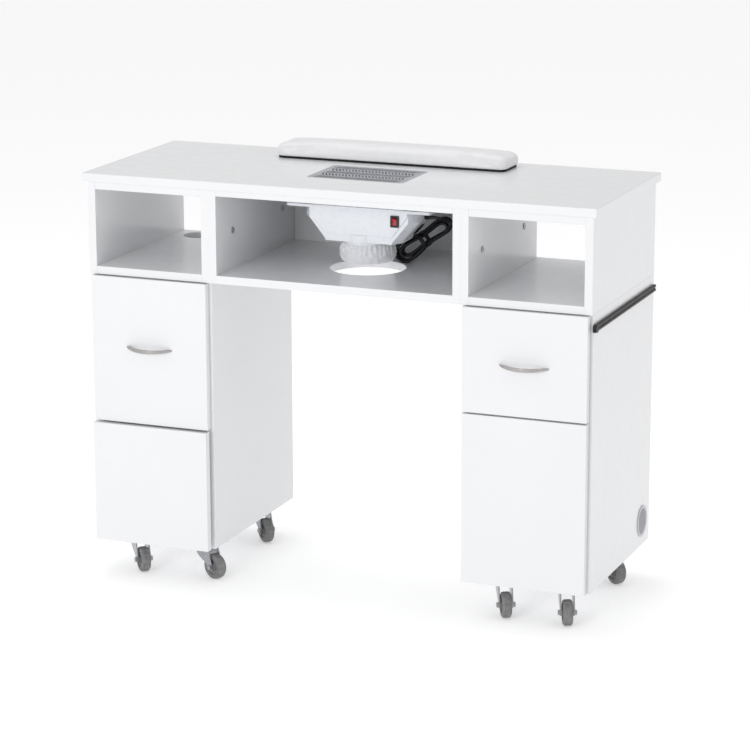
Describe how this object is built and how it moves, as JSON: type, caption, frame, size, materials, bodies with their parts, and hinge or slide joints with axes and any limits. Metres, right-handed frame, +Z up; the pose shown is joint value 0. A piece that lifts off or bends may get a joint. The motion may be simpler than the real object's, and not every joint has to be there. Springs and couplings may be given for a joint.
{
  "type": "manicure table",
  "caption": "Manicure table on swivel casters: drawers and a door in two pedestals, open cubbies, a dust collector under a top grille, and a padded armrest.",
  "frame": {"origin": "on the floor under the middle of the table", "axes": "+X to the seated user's right, along the width; +Y towards the back, where the armrest is; +Z up"},
  "size_m": [1, 0.412, 0.81],
  "materials": {
    "white_laminate": "smooth white melamine laminate on board",
    "drawer_board": "white melamine on thin board",
    "chrome": "polished nickel-chrome plating",
    "zinc": "bright zinc plating on pressed steel",
    "steel": "cold-rolled steel",
    "grey_rubber": "grey thermoplastic rubber tread",
    "grille_metal": "satin punched sheet metal",
    "white_plastic": "moulded white plastic, semi-gloss",
    "grey_plastic": "light grey moulded plastic",
    "black_plastic": "black moulded plastic",
    "black_gloss": "black gloss plastic",
    "red_plastic": "red translucent rocker plastic",
    "bag_cloth": "white non-woven filter cloth",
    "white_leather": "white soft polyurethane leather",
    "black_board": "black board",
    "motor_metal": "painted motor can",
    "cord_rubber": "black flexible cord sheath"
  },
  "bodies": {
    "frame": {"tabletop": "white_laminate", "vent_grille": "grille_metal", "end_cubby_sides": "white_laminate", "centre_cubby_sides": "white_laminate", "cubby_tops": "white_laminate", "end_cubby_floors": "white_laminate", "centre_cubby_shelf": "white_laminate", "centre_cubby_back": "white_laminate", "cubby_connectors": "steel", "pedestal_sides": "white_laminate", "right_outer_side": "white_laminate", "pedestal_decks": "white_laminate", "pedestal_backs": "white_laminate", "side_vent": "grey_plastic", "side_strip": "black_plastic", "drawer_runners": "steel", "hinge_arms": "steel", "caster_plates": "zinc", "armrest_base": "black_board", "armrest_cushion": "white_leather", "collector_housing": "white_plastic", "collector_cover": "white_plastic", "switch_bezel": "black_gloss", "collector_motor": "motor_metal", "outlet_collar": "white_plastic", "filter_bag": "bag_cloth", "side_louvre": "black_plastic", "cord_gland": "black_plastic", "cord_lead": "cord_rubber", "cord_hank": "cord_rubber", "cord_tail": "cord_rubber", "mains_plug": "black_plastic"},
    "left_upper_drawer": {"left_upper_drawer_front": "white_laminate", "left_upper_drawer_box": "drawer_board", "left_upper_handle": "chrome"},
    "left_lower_drawer": {"left_lower_drawer_front": "white_laminate", "left_lower_drawer_box": "drawer_board"},
    "right_drawer": {"right_drawer_front": "white_laminate", "right_drawer_box": "drawer_board", "right_handle": "chrome"},
    "door": {"door": "white_laminate", "hinge_cups": "steel"},
    "rocker": {"rocker_switch": "red_plastic"},
    "fan": {"fan_impeller": "grey_plastic"},
    "caster_swivel_1": {"caster_fork_1": "zinc"},
    "caster_roller_1": {"caster_wheel_1": "grey_rubber"},
    "caster_swivel_2": {"caster_fork_2": "zinc"},
    "caster_roller_2": {"caster_wheel_2": "grey_rubber"},
    "caster_swivel_3": {"caster_fork_3": "zinc"},
    "caster_roller_3": {"caster_wheel_3": "grey_rubber"},
    "caster_swivel_4": {"caster_fork_4": "zinc"},
    "caster_roller_4": {"caster_wheel_4": "grey_rubber"},
    "caster_swivel_5": {"caster_fork_5": "zinc"},
    "caster_roller_5": {"caster_wheel_5": "grey_rubber"},
    "caster_swivel_6": {"caster_fork_6": "zinc"},
    "caster_roller_6": {"caster_wheel_6": "grey_rubber"},
    "caster_swivel_7": {"caster_fork_7": "zinc"},
    "caster_roller_7": {"caster_wheel_7": "grey_rubber"},
    "caster_swivel_8": {"caster_fork_8": "zinc"},
    "caster_roller_8": {"caster_wheel_8": "grey_rubber"}
  },
  "joints": [
    {"name": "left_upper_drawer_slide", "type": "slide", "parent": "frame", "child": "left_upper_drawer", "axis": [0, -1, 0], "range_m": [0, 0.25]},
    {"name": "left_lower_drawer_slide", "type": "slide", "parent": "frame", "child": "left_lower_drawer", "axis": [0, -1, 0], "range_m": [-0.007, 0.243]},
    {"name": "right_drawer_slide", "type": "slide", "parent": "frame", "child": "right_drawer", "axis": [0, -1, 0], "range_m": [0, 0.25]},
    {"name": "door_hinge", "type": "hinge", "parent": "frame", "child": "door", "pos_m": [0.4865, -0.184, 0.2305], "axis": [0, 0, 1], "range_deg": [0, 105]},
    {"name": "rocker_pivot", "type": "hinge", "parent": "frame", "child": "rocker", "pos_m": [0.073, -0.0545, 0.7025], "axis": [1, 0, 0], "range_deg": [-18, 0]},
    {"name": "fan_spin", "type": "hinge", "parent": "frame", "child": "fan", "pos_m": [0, -0.00575, 0.67], "axis": [0, 0, 1], "continuous": true},
    {"name": "caster_swivel_1", "type": "hinge", "parent": "frame", "child": "caster_swivel_1", "pos_m": [-0.432, -0.118, 0.066], "axis": [0, 0, 1], "continuous": true},
    {"name": "caster_roll_1", "type": "hinge", "parent": "caster_swivel_1", "child": "caster_roller_1", "pos_m": [-0.41427, -0.13702, 0.024], "axis": [0.7314, 0.682, 0], "continuous": true},
    {"name": "caster_swivel_2", "type": "hinge", "parent": "frame", "child": "caster_swivel_2", "pos_m": [-0.291, -0.118, 0.066], "axis": [0, 0, 1], "continuous": true},
    {"name": "caster_roll_2", "type": "hinge", "parent": "caster_swivel_2", "child": "caster_roller_2", "pos_m": [-0.26689, -0.12774, 0.024], "axis": [0.3746, 0.9272, 0], "continuous": true},
    {"name": "caster_swivel_3", "type": "hinge", "parent": "frame", "child": "caster_swivel_3", "pos_m": [-0.432, 0.138, 0.066], "axis": [0, 0, 1], "continuous": true},
    {"name": "caster_roll_3", "type": "hinge", "parent": "caster_swivel_3", "child": "caster_roller_3", "pos_m": [-0.41208, 0.12129, 0.024], "axis": [0.6428, 0.766, 0], "continuous": true},
    {"name": "caster_swivel_4", "type": "hinge", "parent": "frame", "child": "caster_swivel_4", "pos_m": [-0.291, 0.138, 0.066], "axis": [0, 0, 1], "continuous": true},
    {"name": "caster_roll_4", "type": "hinge", "parent": "caster_swivel_4", "child": "caster_roller_4", "pos_m": [-0.27168, 0.1206, 0.024], "axis": [0.6691, 0.7431, 0], "continuous": true},
    {"name": "caster_swivel_5", "type": "hinge", "parent": "frame", "child": "caster_swivel_5", "pos_m": [0.312, -0.118, 0.066], "axis": [0, 0, 1], "continuous": true},
    {"name": "caster_roll_5", "type": "hinge", "parent": "caster_swivel_5", "child": "caster_roller_5", "pos_m": [0.32421, -0.14096, 0.024], "axis": [0.8829, 0.4695, 0], "continuous": true},
    {"name": "caster_swivel_6", "type": "hinge", "parent": "frame", "child": "caster_swivel_6", "pos_m": [0.432, -0.118, 0.066], "axis": [0, 0, 1], "continuous": true},
    {"name": "caster_roll_6", "type": "hinge", "parent": "caster_swivel_6", "child": "caster_roller_6", "pos_m": [0.44258, -0.14175, 0.024], "axis": [0.9135, 0.4067, 0], "continuous": true},
    {"name": "caster_swivel_7", "type": "hinge", "parent": "frame", "child": "caster_swivel_7", "pos_m": [0.312, 0.138, 0.066], "axis": [0, 0, 1], "continuous": true},
    {"name": "caster_roll_7", "type": "hinge", "parent": "caster_swivel_7", "child": "caster_roller_7", "pos_m": [0.32871, 0.11808, 0.024], "axis": [0.766, 0.6428, 0], "continuous": true},
    {"name": "caster_swivel_8", "type": "hinge", "parent": "frame", "child": "caster_swivel_8", "pos_m": [0.432, 0.138, 0.066], "axis": [0, 0, 1], "continuous": true},
    {"name": "caster_roll_8", "type": "hinge", "parent": "caster_swivel_8", "child": "caster_roller_8", "pos_m": [0.45249, 0.12199, 0.024], "axis": [0.6157, 0.788, 0], "continuous": true}
  ]
}
